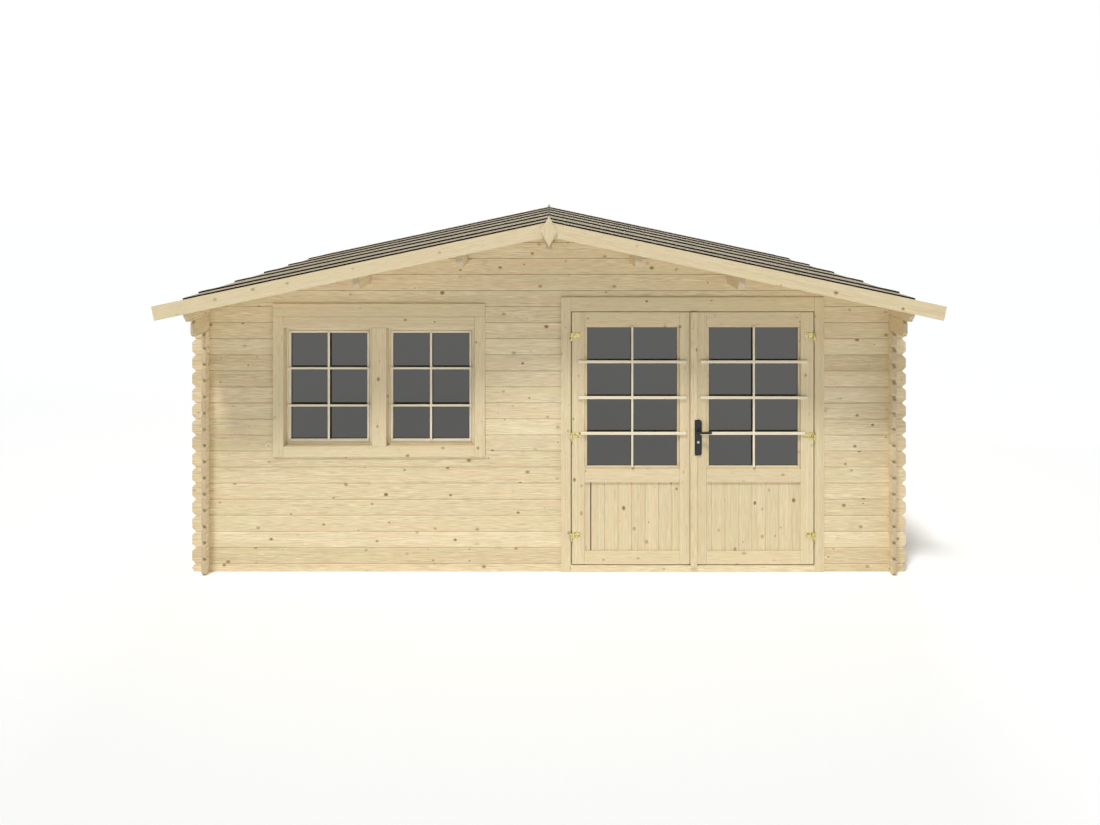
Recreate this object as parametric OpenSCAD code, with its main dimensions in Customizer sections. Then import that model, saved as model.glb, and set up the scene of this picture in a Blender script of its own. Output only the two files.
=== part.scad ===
// Log-built garden house with a double door, a double window and a felted gable roof.
// Millimetres, +Z up, the front faces -Y, origin on the ground in the middle of the plan.

/* [House] */
// Clear width between the side walls
inner_w = 4822; // [4400:10:5400]
// Depth over the outer faces of the front and back walls
outer_d = 4000; // [3000:10:5200]

/* [Logs] */
// Thickness of a wall log
wall_t = 28; // [28:1:44]
// Height of one course
log_h = 114; // [100:1:130]
// Log end past the face of the crossing wall
log_over = 94; // [60:1:120]
// Front end of the top side log, which carries the eave log
corbel_over = 330; // [200:10:400]
// Chamfer on the long edges of a log
log_chamfer = 4; // [2:0.5:6]
// Width of the tongue
tongue_w = 12; // [8:0.5:13]
// Height of the tongue
tongue_h = 10; // [4:0.5:12]
// Height of the chamfer on a log end
end_chamfer_h = 25; // [10:1:26]
// Length of the chamfer on a log end
end_chamfer_l = 27; // [8:1:40]

/* [Roof] */
// Slope of the roof in degrees
roof_pitch = 12; // [9:0.5:15]
// Height of the eave log at the outer wall face
eave_log_h = 137; // [120:1:150]
// Height of the cut under the end of the eave log
eave_cut_h = 45; // [20:1:60]
// Length of the cut under the end of the eave log
eave_cut_l = 55; // [20:1:90]
// Thickness of the roof boards
deck_t = 18; // [15:1:26]
// Roof past the front wall
front_overhang = 480; // [350:10:600]
// Roof past the back wall
back_overhang = 270; // [150:10:400]
// Thickness of a purlin
purlin_w = 44; // [36:1:60]
// Depth of a purlin below the roof boards
purlin_h = 160; // [130:1:175]
// Distance of the lower purlins from the middle
low_purlin_x = 1287; // [1200:1:1400]
// Distance of the upper purlins from the middle
high_purlin_x = 598; // [500:1:700]
// Thickness of the roof felt
felt_t = 10; // [3:0.5:12]
// Felt shown by one full strip
felt_step = 890; // [700:10:1000]
// Felt shown by the front strip
felt_first = 340; // [250:10:600]
// Lap of one strip over the next
felt_lap = 100; // [50:5:150]
// Felt past the eave
felt_drip = 2; // [2:1:20]
// Width of a barge board
barge_w = 97; // [80:1:120]
// Thickness of a barge board
barge_t = 20; // [16:1:28]
// Barge board tail past the side wall
barge_tail = 208; // [120:1:260]
// Width of the gable diamond
diamond_w = 108; // [80:1:140]
// Height of the gable diamond
diamond_h = 209; // [160:1:240]
// Tip of the diamond above the barge boards
diamond_rise = 41; // [20:1:60]
// Thickness of the gable diamond
diamond_t = 20; // [14:1:28]

/* [Floor] */
// Height of the floor joists
joist_h = 34; // [30:1:50]
// Width of a floor joist
joist_w = 60; // [40:1:80]
// Number of floor joists
joist_count = 8; // [6:1:12]
// Thickness of the floor boards
floor_t = 18; // [16:1:24]

/* [Door] */
// Doorway from the inner face of the right wall
door_side = 529; // [300:1:620]
// Clear width between the door casings
door_w = 1728; // [1500:1:1800]
// Underside of the head casing above the ground
door_h = 1848; // [1650:1:2100]
// Width of a side casing
door_casing_w = 68; // [60:1:80]
// Height of the head casing
door_head_h = 101; // [90:1:110]
// Thickness of the casings
casing_t = 12; // [10:1:18]
// Depth of the door lining behind the face of the wall
lining_d = 44; // [42:1:60]
// Height of the threshold
threshold_h = 52; // [40:1:60]
// Nose of the threshold in front of the wall
nose_d = 12; // [6:1:12]
// Thickness of a door leaf
leaf_t = 40; // [36:1:44]
// Room round a leaf
leaf_gap = 5; // [5:0.5:8]
// Room beside a leaf, also between the two leaves
leaf_side_gap = 7; // [6.5:0.5:9]
// Meeting line of the leaves, left of the door middle
meet_dx = 18; // [0:1:30]
// Width of a hinge stile
hinge_stile_w = 92; // [80:1:110]
// Width of the left leaf's meeting stile
left_meet_w = 71; // [65:1:110]
// Width of the right leaf's meeting stile
right_meet_w = 113; // [105:1:130]
// Height of the top rail
top_rail_h = 91; // [80:1:120]
// Top of the middle rail above the ground
mid_rail_z = 734; // [700:1:780]
// Height of the middle rail
mid_rail_h = 97; // [85:1:130]
// Height of the bottom rail
bottom_rail_h = 91; // [80:1:120]
// Glazing bead shown round the glass
bead_w = 17; // [12:1:24]
// Depth of the bead behind the face of the leaf
bead_depth = 9; // [5:1:12]
// Glass behind the face of the leaf
glass_in = 28; // [16:0.5:29]
// Thickness of the door panel
panel_t = 18; // [14:1:20]
// Width of the cover strip
strip_w = 46; // [36:1:50]
// Thickness of the cover strip
strip_t = 13; // [10:1:18]
// Cover strip below the leaf
strip_drop = 18; // [10:1:24]
// Lowest hinge above the bottom of a leaf
hinge_up = 192; // [120:1:260]
// Top hinge below the top of a leaf
hinge_down = 180; // [120:1:260]
// Diameter of a hinge barrel
barrel_d = 16; // [13:0.5:16]
// Diameter of a hinge pin
pin_d = 9; // [7:0.5:10]
// Length of a hinge strap on the leaf
strap_w = 62; // [50:1:75]
// Height of a hinge strap
strap_h = 33; // [28:1:40]
// Thickness of a hinge strap
strap_t = 3; // [2:0.5:4]

/* [Lever] */
// Middle of the handle plate from the leaf's meeting edge
plate_dx = 53; // [50:1:60]
// Width of the handle plate
plate_w = 50; // [40:1:52]
// Height of the handle plate
plate_h = 252; // [220:1:280]
// Thickness of the handle plate
plate_t = 8; // [6:0.5:10]
// Corner radius of the handle plate
plate_corner = 18; // [4:0.5:19]
// Bottom of the handle plate above the ground
plate_z = 829; // [815:1:840]
// Spindle above the bottom of the plate
spindle_up = 168; // [140:1:180]
// Lock cylinder above the bottom of the plate
cylinder_up = 94; // [70:1:105]
// Diameter of the lock cylinder
cylinder_d = 18; // [15:0.5:20]
// Reach of the lever from the spindle
lever_l = 84; // [75:1:110]
// Height of the lever's grip
lever_d = 16; // [15.5:0.5:24]
// Thickness of the lever's grip
lever_t = 13; // [10:0.5:16]
// Diameter of the lever's neck
neck_d = 15; // [12:0.5:16]
// Lever axis in front of the plate
lever_out = 40; // [34:1:48]
// Diameter of the spindle
spindle_d = 9; // [8:0.5:10]

/* [Window] */
// Window casing from the inner face of the left wall
window_side = 454; // [300:1:560]
// Width over the window casings
window_w = 1504; // [1400:1:1550]
// Full courses below the window
window_course = 7; // [5:1:8]
// Head casing above the opening in the logs
window_rise = 23; // [10:1:45]
// Casings below the opening in the logs
window_drop = 40; // [25:1:55]
// Height of the head casing
window_head_h = 94; // [80:1:110]
// Width of a side casing
window_casing_w = 73; // [64:1:80]
// Height of the window frame's head
frame_head_h = 78; // [70:1:100]
// Height of the window frame's bottom rail
frame_foot_h = 75; // [60:1:90]
// Width of the mullion
mullion_w = 100; // [90:1:125]
// Width of a sash member
sash_w = 31; // [24:1:40]
// Thickness of a sash
sash_t = 36; // [34:1:42]
// Sash behind the face of the window frame
sash_back = 58; // [50:1:66]
// Ledge round a sash behind the face of the window frame
ledge_back = 50; // [40:1:56]
// Depth of the window lining behind the face of the wall
window_lining_d = 62; // [56:1:80]
// Thickness of the glass
glass_t = 4; // [3:0.5:6]
// Glass behind the face of its sash
sash_glass_in = 24; // [16:0.5:25]

/* [Hidden] */
// Gap between pieces that seat on each other
fit = 0.3;
// Gap between two logs of one wall
seam = 0.4;
// Room round a tongue in its groove
groove_room = 0.5;
// Room between a turning pin and its bore
pin_room = 0.1;
// Overrun of every cut
over = 1;
// Depth that glass and panels stand in their grooves
groove_d = 9;
// Depth of the window groove in a sash
sash_groove_d = 6;
// Ledge of the window lining shown round a sash
sash_room = 10;
// Share of the course height that a corner notch takes
notch_share = 0.25;
// Width of the door stop
stop_w = 16;
// Log wall behind the casings
casing_lap = 42;
// Log wall behind the window casings
window_lap = 55;
// Least height of the head board over the leaves
head_board_h = 30;
// Room between a hinge barrel and the face of its leaf
barrel_room = 1;
// Length of the drill-in stem of a hinge
stem_l = 46;
// Diameter of the drill-in stem of a hinge
stem_d = 7;
// Direction of the stem into the frame
stem_turn = 45;
// Height of the hinge part on the frame
foot_h = 24;
// Running gap between the two hinge parts
knuckle_gap = 0.5;
// Collar of the lever on the plate
collar_d = 22;
// Length of that collar
collar_l = 6;
// Room round the cover strip's notch
notch_room = 2;
// Lock cylinder in front of the plate
cylinder_out = 3;
// Width of the keyhole
key_w = 2.5;
// Height of the keyhole
key_h = 8;
// Depth of the keyhole
key_d = 2;
// Facets of the round pieces
$fn = 48;

wood = [0.88, 0.80, 0.63];
board = [0.85, 0.78, 0.62];
felt_grey = [0.40, 0.37, 0.32];
glass_grey = [0.38, 0.37, 0.36, 0.6];
yellow_zinc = [0.80, 0.72, 0.40];
black_iron = [0.20, 0.19, 0.20];
steel_grey = [0.75, 0.75, 0.75];

// Places that follow from the sizes
outer_x = inner_w / 2 + wall_t;
corner_x = inner_w / 2 + wall_t / 2;
log_end_x = outer_x + log_over;
trim_t = barge_t + diamond_t;
total_y = outer_d + front_overhang + back_overhang + 2 * trim_t;
front_y = -total_y / 2 + trim_t + front_overhang;
back_y = front_y + outer_d;
front_mid = front_y + wall_t / 2;
back_mid = back_y - wall_t / 2;
roof_front = front_y - front_overhang;
roof_back = back_y + back_overhang;
roof_l = roof_back - roof_front;
half_course = log_h / 2;
head_course = ceil((door_h + head_board_h - half_course) / log_h);
quarter = log_h * notch_share;
wall_log_h = log_h - seam;
side_top = head_course * log_h;
ridge_z = side_top + eave_log_h + outer_x * tan(roof_pitch);
deck_v = deck_t / cos(roof_pitch);
deck_top = ridge_z + deck_v;
slope_l = outer_x / cos(roof_pitch);
head_z = half_course + head_course * log_h;
floor_front = front_y + lining_d + fit;
floor_back = back_y - wall_t - fit;

door_r = inner_w / 2 - door_side;
door_l = door_r - door_w;
meet_x = (door_l + door_r) / 2 - meet_dx;
leaf_l = door_l + leaf_side_gap;
leaf_r = door_r - leaf_side_gap;
left_edge = meet_x - leaf_side_gap / 2;
right_edge = meet_x + leaf_side_gap / 2;
leaf_bottom = threshold_h + leaf_gap;
leaf_top = door_h - leaf_gap;
leaf_face = front_y - casing_t;
door_cut_l = door_l - casing_lap;
door_cut_r = door_r + casing_lap;
stop_y = leaf_t - casing_t + leaf_gap;
hinge_dx = leaf_side_gap / 2;
hinge_y = leaf_face - barrel_d / 2 - barrel_room;
hinge_low = leaf_bottom + hinge_up;
hinge_high = leaf_top - hinge_down;
hinge_zs = [hinge_low, (hinge_low + hinge_high) / 2, hinge_high];
glass_z = [mid_rail_z, leaf_top - top_rail_h];
panel_z = [leaf_bottom + bottom_rail_h, mid_rail_z - mid_rail_h];

plate_x = right_edge + plate_dx;
spindle_z = plate_z + spindle_up;
cylinder_z = plate_z + cylinder_up;

window_l = window_side - inner_w / 2;
window_r = window_l + window_w;
window_cut_l = window_l + window_lap;
window_cut_r = window_r - window_lap;
window_cut_z = half_course + window_course * log_h;
window_bottom = window_cut_z - window_drop;
window_top = head_z + window_rise;
frame_l = window_l + window_casing_w;
frame_r = window_r - window_casing_w;
frame_top = window_top - window_head_h;
light_w = (frame_r - frame_l - mullion_w) / 2;
light_z = [window_bottom + frame_foot_h, frame_top - frame_head_h];
light_xs = [frame_l, frame_r - light_w];
sash_y = leaf_face + sash_back;

// Shared shapes

module box(a, b) {
    translate(a)
        cube(b - a);
}

module along_x(l) {
    rotate([90, 0, 90])
        linear_extrude(l)
            children();
}

module along_y(l) {
    translate([0, l, 0])
        rotate([90, 0, 0])
            linear_extrude(l)
                children();
}

module both_sides() {
    children();
    mirror([1, 0, 0])
        children();
}

// Section of a log: chamfered edges, a tongue above and a groove below
module log_section(h, grooved, tongued) {
    difference() {
        polygon([
            [-wall_t / 2, log_chamfer], [log_chamfer - wall_t / 2, 0],
            [wall_t / 2 - log_chamfer, 0], [wall_t / 2, log_chamfer],
            [wall_t / 2, h - log_chamfer], [wall_t / 2 - log_chamfer, h],
            [log_chamfer - wall_t / 2, h], [-wall_t / 2, h - log_chamfer]
        ]);
        if (grooved)
            translate([-tongue_w / 2 - groove_room, -over])
                square([tongue_w + 2 * groove_room, tongue_h + groove_room + over]);
    }
    if (tongued)
        translate([-tongue_w / 2, h - over])
            square([tongue_w, tongue_h + over]);
}

// Wedge off the lower corner of a log end, high and long as given
module end_wedge(high, long) {
    below = tongue_h + over;
    translate([0, wall_t / 2 + over, 0])
        rotate([90, 0, 0])
            linear_extrude(wall_t + 2 * over)
                polygon([[-over, -below], [long, -below], [long, 0], [0, high], [-over, high]]);
}

// Wedges off both corners of a log end
module end_wedges(h) {
    end_wedge(end_chamfer_h, end_chamfer_l);
    translate([0, 0, h])
        mirror([0, 0, 1])
            end_wedge(end_chamfer_h, end_chamfer_l);
}

// One log along X from s0 to s1 with its foot at z0, notched where it crosses other walls
module wall_log(s0, s1, z0, h, corners, ends = [true, true], grooved = true, tongued = true) {
    half = h < wall_log_h;
    translate([0, 0, z0])
        difference() {
            translate([s0, 0, 0])
                along_x(s1 - s0)
                    log_section(h, grooved, tongued);
            for (c = corners) {
                box([c - wall_t / 2 - fit, -wall_t, h + seam - quarter - seam / 2],
                    [c + wall_t / 2 + fit, wall_t, h + tongue_h + over]);
                if (!half)
                    box([c - wall_t / 2 - fit, -wall_t, -over],
                        [c + wall_t / 2 + fit, wall_t, quarter + seam / 2]);
            }
            if (ends[0])
                translate([s0, 0, 0])
                    end_wedges(h);
            if (ends[1])
                translate([s1, 0, 0])
                    mirror([1, 0, 0])
                        end_wedges(h);
        }
}

// Courses of a cross wall from seam number a to seam number b, lying along X
module cross_courses(a, b, s0, s1, corners, ends) {
    for (k = [a : b - 1])
        wall_log(s0, s1, half_course + k * log_h, wall_log_h, corners, ends);
}

// Half log on the ground, under the first course of a cross wall
module ground_log(s0, s1, corners, ends) {
    wall_log(s0, s1, 0, half_course - seam, corners, ends, false);
}

// Everything above the underside of the roof boards, less a drop
module over_roof(drop) {
    span = 2 * total_y;
    for (side = [0, 1])
        mirror([side, 0, 0])
            translate([0, 0, ridge_z - drop])
                rotate([0, roof_pitch, 0])
                    translate([-span / 2, -span / 2, 0])
                        cube(span);
}

// Place and underside of the purlin at x
function purlin_z(x) = ridge_z - abs(x) * tan(roof_pitch) - purlin_h;

module purlin(x, room, y0, y1) {
    box([x - purlin_w / 2 - room, y0, purlin_z(x) - room], [x + purlin_w / 2 + room, y1, ridge_z]);
}

// Courses of a gable, butting between the eave logs, under the roof and round the purlins
module gable_courses() {
    reach = inner_w / 2 - fit;
    top_course = floor((ridge_z - head_z) / log_h) - 1;
    difference() {
        for (k = [0 : top_course])
            wall_log(-reach, reach, head_z + k * log_h, k == top_course ? ridge_z - head_z - k * log_h
                : wall_log_h, [], [false, false], true, k < top_course);
        over_roof(fit);
        for (x = [-low_purlin_x, -high_purlin_x, 0, high_purlin_x, low_purlin_x])
            purlin(x, fit, -wall_t, wall_t);
    }
}

// Courses of a side wall, the top one running out at the front as a corbel
module side_courses_at(x) {
    for (k = [0 : head_course - 1]) {
        front_end = k == head_course - 1 ? corbel_over : log_over;
        translate([x, 0, 0])
            rotate([0, 0, 90])
                wall_log(front_y - front_end, back_y + log_over, k * log_h, wall_log_h,
                    [front_mid, back_mid], [true, true], k > 0);
    }
}

// Floor

module floor_joists() {
    color(wood)
        for (i = [0 : joist_count - 1])
            translate([(i + 1 / 2) * inner_w / joist_count - inner_w / 2 - joist_w / 2,
                floor_front, 0])
                cube([joist_w, floor_back - floor_front, joist_h]);
}

module floor_boards() {
    color(board)
        box([fit - inner_w / 2, floor_front, joist_h + fit],
            [inner_w / 2 - fit, floor_back, joist_h + floor_t]);
}

// Log walls

module front_sill_logs() {
    color(wood)
        translate([0, front_mid, 0]) {
            ground_log(-log_end_x, door_cut_l, [-corner_x], [true, false]);
            cross_courses(0, window_course, -log_end_x, door_cut_l, [-corner_x], [true, false]);
        }
}

module front_corner_logs() {
    color(wood)
        translate([0, front_mid, 0])
            cross_courses(window_course, head_course, -log_end_x, window_cut_l, [-corner_x], [true, false]);
}

module front_pier_logs() {
    color(wood)
        translate([0, front_mid, 0])
            cross_courses(window_course, head_course, window_cut_r, door_cut_l, [], [false, false]);
}

module front_right_logs() {
    color(wood)
        translate([0, front_mid, 0]) {
            ground_log(door_cut_r, log_end_x, [corner_x], [false, true]);
            cross_courses(0, head_course, door_cut_r, log_end_x, [corner_x], [false, true]);
        }
}

module front_gable_logs() {
    color(wood)
        translate([0, front_mid, 0])
            gable_courses();
}

module back_wall_logs() {
    color(wood)
        translate([0, back_mid, 0]) {
            ground_log(-log_end_x, log_end_x, [-corner_x, corner_x], [true, true]);
            cross_courses(0, head_course, -log_end_x, log_end_x, [-corner_x, corner_x], [true, true]);
        }
}

module back_gable_logs() {
    color(wood)
        translate([0, back_mid, 0])
            gable_courses();
}

module left_wall_logs() {
    color(wood)
        side_courses_at(-corner_x);
}

module right_wall_logs() {
    color(wood)
        side_courses_at(corner_x);
}

// Eave log of the right side, bevelled to the roof, notched over the cross walls and cut at its ends
module eave_log() {
    difference() {
        translate([corner_x, 0, side_top])
            rotate([0, 0, 90])
                difference() {
                    translate([roof_front + fit, 0, 0])
                        along_x(roof_l - 2 * fit)
                            log_section(eave_log_h + wall_t, true, false);
                    for (c = [front_mid, back_mid])
                        box([c - wall_t / 2 - fit, -wall_t, -over],
                            [c + wall_t / 2 + fit, wall_t, quarter + seam / 2]);
                    translate([roof_front + fit, 0, 0])
                        end_wedge(eave_cut_h, eave_cut_l);
                    translate([roof_back - fit, 0, 0])
                        mirror([1, 0, 0])
                            end_wedge(eave_cut_h, eave_cut_l);
                }
        over_roof(fit);
    }
}

module left_eave_log() {
    color(wood)
        mirror([1, 0, 0])
            eave_log();
}

module right_eave_log() {
    color(wood)
        eave_log();
}

// Roof

module roof_purlins(xs) {
    difference() {
        for (x = xs)
            purlin(x, 0, roof_front + fit, roof_back - fit);
        over_roof(fit);
    }
}

module ridge_purlin() {
    color(wood)
        roof_purlins([0]);
}

module left_purlins() {
    color(wood)
        roof_purlins([-low_purlin_x, -high_purlin_x]);
}

module right_purlins() {
    color(wood)
        roof_purlins([high_purlin_x, low_purlin_x]);
}

module roof_deck() {
    fall = tan(roof_pitch);
    translate([0, roof_front + fit, 0])
        along_y(roof_l - 2 * fit)
            polygon([
                [fit, ridge_z - fit * fall], [outer_x, ridge_z - outer_x * fall],
                [outer_x, deck_top - outer_x * fall], [fit, deck_top - fit * fall]
            ]);
}

module left_roof_deck() {
    color(board)
        mirror([1, 0, 0])
            roof_deck();
}

module right_roof_deck() {
    color(board)
        roof_deck();
}

// Strip of felt from y0 to y1 on the boards, its front edge lapped over the strip before it, or not
module felt_strip(y0, y1, lap) {
    polygon(lap == 0
        ? [[y0, 0], [y1, 0], [y1, felt_t], [y0, felt_t]]
        : [
            [y0, 0], [y1, 0], [y1, felt_t], [y0 + 2 * felt_t, felt_t],
            [y0 + felt_t, 2 * felt_t + fit], [y0 - lap, 2 * felt_t + fit],
            [y0 - lap, felt_t + fit], [y0, felt_t + fit]
        ]);
}

module roof_felt() {
    full = ceil((roof_l - felt_first) / felt_step);
    starts = [for (i = [0 : full]) i == 0 ? 0 : felt_first + felt_lap + (i - 1) * felt_step];
    translate([0, roof_front + fit, deck_top + fit])
        rotate([0, roof_pitch, 0])
            translate([fit, 0, 0])
                along_x(slope_l + felt_drip - fit)
                    for (i = [0 : full])
                        if (starts[i] < roof_l - felt_lap)
                            felt_strip(starts[i] + (i == 0 ? 0 : fit),
                                min(starts[i] + (i == 0 ? felt_first + felt_lap : felt_step), roof_l),
                                i == 0 ? 0 : felt_lap);
}

module left_roof_felt() {
    color(felt_grey)
        mirror([1, 0, 0])
            roof_felt();
}

module right_roof_felt() {
    color(felt_grey)
        roof_felt();
}

// Pair of barge boards standing at y0, plumb where they meet and square at the tails
module barge_pair(y0) {
    fall = tan(roof_pitch);
    tail = outer_x + barge_tail;
    both_sides()
        translate([0, y0, 0])
            along_y(barge_t)
                polygon([
                    [fit, deck_top - fit * fall],
                    [tail, deck_top - tail * fall],
                    [tail - barge_w * sin(roof_pitch), deck_top - tail * fall - barge_w * cos(roof_pitch)],
                    [fit, deck_top - fit * fall - barge_w / cos(roof_pitch)]
                ]);
}

module front_barge_boards() {
    color(board)
        barge_pair(roof_front - barge_t);
}

module back_barge_boards() {
    color(board)
        barge_pair(roof_back);
}

module gable_diamonds() {
    mid_z = deck_top + diamond_rise - diamond_h / 2;
    color(board)
        for (y0 = [-total_y / 2, total_y / 2 - diamond_t + fit])
            translate([0, y0, mid_z])
                along_y(diamond_t - fit)
                    polygon([
                        [diamond_w / 2, 0], [0, diamond_h / 2],
                        [-diamond_w / 2, 0], [0, -diamond_h / 2]
                    ]);
}

// Door frame

// Lining of the doorway with the stop behind the leaf, as a section across the jamb
module jamb_section() {
    polygon([
        [fit - casing_lap, 0], [0, 0], [0, stop_y], [stop_w, stop_y],
        [stop_w, lining_d], [fit - casing_lap, lining_d]
    ]);
}

// Bore of one drill-in hinge stem, leaning into the frame on the side given
module stem(x, z, side, d, l) {
    translate([x, hinge_y, z])
        rotate([0, 0, side * stem_turn])
            rotate([-90, 0, 0])
                cylinder(d = d, h = l);
}

module stem_bores() {
    for (z = hinge_zs) {
        stem(door_l + hinge_dx, z - foot_h / 2, 1, stem_d + 2 * fit, stem_l + fit);
        stem(door_r - hinge_dx, z - foot_h / 2, -1, stem_d + 2 * fit, stem_l + fit);
    }
}

module door_frame() {
    color(wood)
        difference() {
            union() {
                for (side = [0, 1])
                    translate([side == 0 ? door_l : door_r, front_y, 0])
                        mirror([side, 0, 0])
                            linear_extrude(head_z - seam)
                                jamb_section();
                translate([door_l + stop_w + fit, front_y, door_h])
                    rotate([0, 90, 0])
                        linear_extrude(door_w - 2 * stop_w - 2 * fit)
                            polygon([
                                [door_h - head_z + seam, 0], [0, 0], [0, stop_y], [stop_w, stop_y],
                                [stop_w, lining_d], [door_h - head_z + seam, lining_d]
                            ]);
            }
            stem_bores();
        }
}

module door_casing() {
    top = door_h + door_head_h;
    color(board)
        difference() {
            union() {
                box([door_l - door_casing_w, leaf_face, 0], [door_l, front_y - fit, top]);
                box([door_r, leaf_face, 0], [door_r + door_casing_w, front_y - fit, top]);
                box([door_l + fit, leaf_face, door_h], [door_r - fit, front_y - fit, top]);
            }
            stem_bores();
        }
}

module door_threshold() {
    back = front_y + stop_y - fit;
    color(wood) {
        translate([door_l + fit, 0, 0])
            along_x(door_w - 2 * fit)
                polygon([
                    [front_y - nose_d, 0], [back, 0], [back, threshold_h],
                    [front_y, threshold_h], [front_y - nose_d, threshold_h - nose_d / 2]
                ]);
        box([door_l + stop_w + fit, back - over, 0],
            [door_r - stop_w - fit, front_y + lining_d, threshold_h]);
    }
}

// Hinge part on the frame: a foot with the pin above it and the stem behind it
module hinge_pin(x, z, side) {
    translate([x, hinge_y, z - foot_h])
        cylinder(d = barrel_d, h = foot_h);
    translate([x, hinge_y, z - over])
        cylinder(d = pin_d, h = strap_h + knuckle_gap + over);
    stem(x, z - foot_h / 2, side, stem_d, stem_l);
}

module hinge_pins() {
    color(yellow_zinc)
        for (z = hinge_zs) {
            hinge_pin(door_l + hinge_dx, z, 1);
            hinge_pin(door_r - hinge_dx, z, -1);
        }
}

// Window

// Frame boards on the face of the wall, with the lining of the opening and its ledges behind them
module window_frame() {
    foot = window_cut_z + tongue_h + fit;
    head = head_z - seam;
    face = front_y - fit;
    ledge = leaf_face + ledge_back;
    back = front_y + window_lining_d;
    color(wood)
        difference() {
            union() {
                box([frame_l + fit, leaf_face, window_bottom], [frame_r - fit, face, frame_top - fit]);
                box([frame_l + fit, leaf_face, foot], [frame_r - fit, front_y + over, frame_top - fit]);
                box([window_cut_l + fit, face, foot], [window_cut_r - fit, back, head]);
            }
            for (x = light_xs) {
                box([x, leaf_face - over, light_z[0]], [x + light_w, ledge, light_z[1]]);
                box([x + sash_room, ledge - over, light_z[0] + sash_room],
                    [x + light_w - sash_room, back + over, light_z[1] - sash_room]);
            }
        }
}

module window_casing() {
    color(board) {
        box([window_l, leaf_face, frame_top], [window_r, front_y - fit, window_top]);
        box([window_l, leaf_face, window_bottom], [frame_l, front_y - fit, frame_top - fit]);
        box([frame_r, leaf_face, window_bottom], [window_r, front_y - fit, frame_top - fit]);
    }
}

// Sash behind one light of the frame, with a groove for its glass
module sash(x) {
    edge = sash_room + fit;
    a = [x + edge, sash_y, light_z[0] + edge];
    b = [x + light_w - edge, sash_y + sash_t, light_z[1] - edge];
    side = [sash_w, 0, sash_w];
    lip = [sash_groove_d, 0, sash_groove_d];
    groove = [0, sash_glass_in - fit, 0];
    behind = [0, sash_t - sash_glass_in - glass_t - fit, 0];
    difference() {
        box(a, b);
        box(a + side - [0, over, 0], b - side + [0, over, 0]);
        box(a + side - lip + groove, b - side + lip - behind);
    }
}

module left_sash() {
    color(wood)
        sash(light_xs[0]);
}

module right_sash() {
    color(wood)
        sash(light_xs[1]);
}

module window_glass() {
    edge = sash_room + sash_w - sash_groove_d + 2 * fit;
    color(glass_grey)
        for (x = light_xs)
            box([x + edge, sash_y + sash_glass_in, light_z[0] + edge],
                [x + light_w - edge, sash_y + sash_glass_in + glass_t, light_z[1] - edge]);
}

// Door leaves

// Frame of a leaf from x0 to x1 with stiles a and b wide, beaded for glass and grooved for the panel
module leaf_frame(x0, x1, a, b) {
    back = leaf_face + leaf_t;
    mid = leaf_face + leaf_t / 2;
    pane = leaf_face + glass_in;
    g0 = [x0 + a, leaf_face, glass_z[0]];
    g1 = [x1 - b, back, glass_z[1]];
    p0 = [x0 + a, leaf_face, panel_z[0]];
    p1 = [x1 - b, back, panel_z[1]];
    bead = [bead_w, 0, bead_w];
    lip = [groove_d, 0, groove_d];
    difference() {
        box([x0, leaf_face, leaf_bottom], [x1, back, leaf_top]);
        box(g0 - [0, over, 0], [g1[0], leaf_face + bead_depth, g1[2]]);
        box(g0 + bead - [0, over, 0], g1 - bead + [0, over, 0]);
        box([g0[0] + bead_w - groove_d, pane - fit, g0[2] + bead_w - groove_d],
            [g1[0] - bead_w + groove_d, pane + glass_t + fit, g1[2] - bead_w + groove_d]);
        box(p0 - [0, over, 0], p1 + [0, over, 0]);
        box([p0[0] - groove_d, mid - panel_t / 2 - fit, p0[2] - groove_d],
            [p1[0] + groove_d, mid + panel_t / 2 + fit, p1[2] + groove_d]);
    }
}

module leaf_panel(x0, x1, a, b) {
    mid = leaf_face + leaf_t / 2;
    edge = groove_d - fit;
    box([x0 + a - edge, mid - panel_t / 2, panel_z[0] - edge],
        [x1 - b + edge, mid + panel_t / 2, panel_z[1] + edge]);
}

module leaf_glass(x0, x1, a, b) {
    pane = leaf_face + glass_in;
    edge = bead_w - groove_d + fit;
    box([x0 + a + edge, pane, glass_z[0] + edge],
        [x1 - b - edge, pane + glass_t, glass_z[1] - edge]);
}

// Hinge part on the leaf: a bored knuckle with its strap on the face
module hinge_strap(x, z, side) {
    translate([x, 0, z + knuckle_gap])
        mirror([side, 0, 0])
            difference() {
                union() {
                    translate([0, hinge_y, 0])
                        cylinder(d = barrel_d, h = strap_h);
                    box([0, hinge_y + barrel_d / 2 - strap_t, 0],
                        [hinge_dx + strap_t, hinge_y + barrel_d / 2, strap_h]);
                    box([hinge_dx + fit, leaf_face - fit - strap_t, 0],
                        [hinge_dx + strap_w, leaf_face - fit, strap_h]);
                }
                translate([0, hinge_y, -over])
                    cylinder(d = pin_d + 2 * pin_room, h = strap_h + 2 * over);
            }
}

module left_leaf_frame() {
    color(wood)
        leaf_frame(leaf_l, left_edge, hinge_stile_w, left_meet_w);
}

module left_leaf_panel() {
    color(board)
        leaf_panel(leaf_l, left_edge, hinge_stile_w, left_meet_w);
}

module left_leaf_glass() {
    color(glass_grey)
        leaf_glass(leaf_l, left_edge, hinge_stile_w, left_meet_w);
}

module left_leaf_straps() {
    color(yellow_zinc)
        for (z = hinge_zs)
            hinge_strap(door_l + hinge_dx, z, 0);
}

// Bores across the right leaf for the spindle and the lock cylinder
module lock_bores(spindle_hole, cylinder_hole) {
    for (hole = [[spindle_z, spindle_hole], [cylinder_z, cylinder_hole]])
        translate([plate_x, leaf_face - lever_out, hole[0]])
            rotate([-90, 0, 0])
                cylinder(d = hole[1], h = leaf_t + 2 * lever_out);
}

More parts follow.
